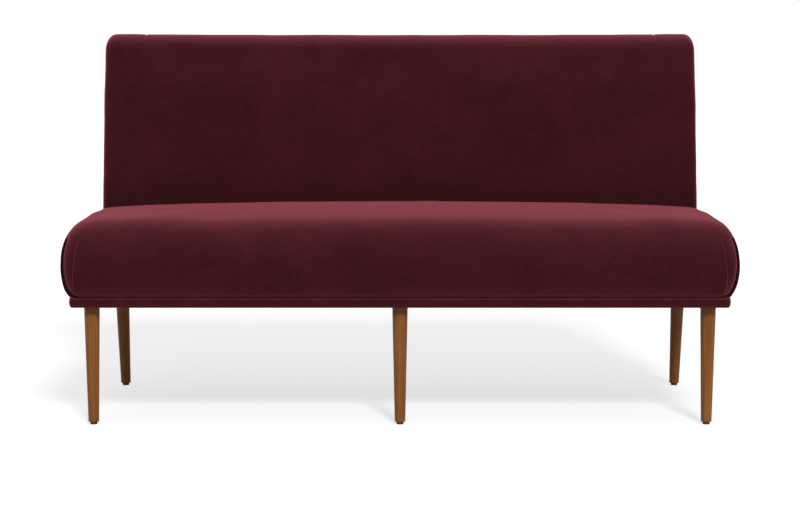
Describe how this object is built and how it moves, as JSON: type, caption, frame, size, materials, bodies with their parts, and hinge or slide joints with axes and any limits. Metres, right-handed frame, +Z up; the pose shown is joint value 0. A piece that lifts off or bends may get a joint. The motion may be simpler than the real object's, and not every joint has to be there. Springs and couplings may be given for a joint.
{
  "type": "upholstered dining bench",
  "caption": "Armless dining bench with a deep rolled velvet seat, a raked upholstered back, a padded base band and tapered wooden legs.",
  "frame": {"origin": "on the floor, under the middle of the bench's overall box", "axes": "+X along the bench, to the right as seen from the front; +Y from the front edge towards the back; +Z up"},
  "size_m": [1.57, 0.6662, 0.9127],
  "materials": {
    "velvet": "burgundy velvet with a soft mottled nap",
    "leg_wood": "brown stained wood with a satin lacquer",
    "glide_felt": "dark matt",
    "frame_timber": "planed, bare",
    "hardboard": "bare hardboard",
    "foam": "cut foam and wadding",
    "webbing": "woven jute",
    "dust_cloth": "thin black non-woven cloth",
    "steel": "zinc plated"
  },
  "bodies": {
    "root": {"front_left_leg": "leg_wood", "front_middle_leg": "leg_wood", "front_right_leg": "leg_wood", "rear_left_leg": "leg_wood", "rear_middle_leg": "leg_wood", "rear_right_leg": "leg_wood", "foot_glides": "glide_felt", "glide_nails": "steel", "hanger_bolts": "steel", "leg_plates": "steel", "leg_plate_screws": "steel", "base_front_board": "frame_timber", "base_rear_board": "frame_timber", "base_left_board": "frame_timber", "base_right_board": "frame_timber", "base_cross_board_left": "frame_timber", "base_cross_board_middle": "frame_timber", "base_cross_board_right": "frame_timber", "base_dowels": "frame_timber", "base_screws": "steel", "base_band_padding": "foam", "base_band_cover": "velvet", "dust_cover": "dust_cloth", "dust_cover_staples": "steel", "seat_front_rail": "frame_timber", "seat_rear_rail": "frame_timber", "seat_left_rail": "frame_timber", "seat_right_rail": "frame_timber", "seat_cross_rail_left": "frame_timber", "seat_cross_rail_right": "frame_timber", "seat_dowels": "frame_timber", "corner_block_front_left": "frame_timber", "corner_block_front_right": "frame_timber", "corner_block_rear_left": "frame_timber", "corner_block_rear_right": "frame_timber", "corner_block_screws": "steel", "seat_straps": "webbing", "seat_long_straps": "webbing", "webbing_staples": "steel", "seat_hessian": "webbing", "seat_foam": "foam", "seat_edge_padding": "foam", "seat_cover": "velvet", "back_left_stile": "frame_timber", "back_right_stile": "frame_timber", "back_middle_stile": "frame_timber", "back_top_rail": "frame_timber", "back_tuck_rail": "frame_timber", "back_bottom_rail": "frame_timber", "back_dowels": "frame_timber", "back_stile_screws": "steel", "back_bolts": "steel", "back_bolt_washers": "steel", "back_insert_nuts": "steel", "back_straps": "webbing", "back_foam": "foam", "back_edge_padding": "foam", "back_cover": "velvet", "backing_board": "hardboard", "outside_back_cover": "velvet"}
  },
  "joints": []
}
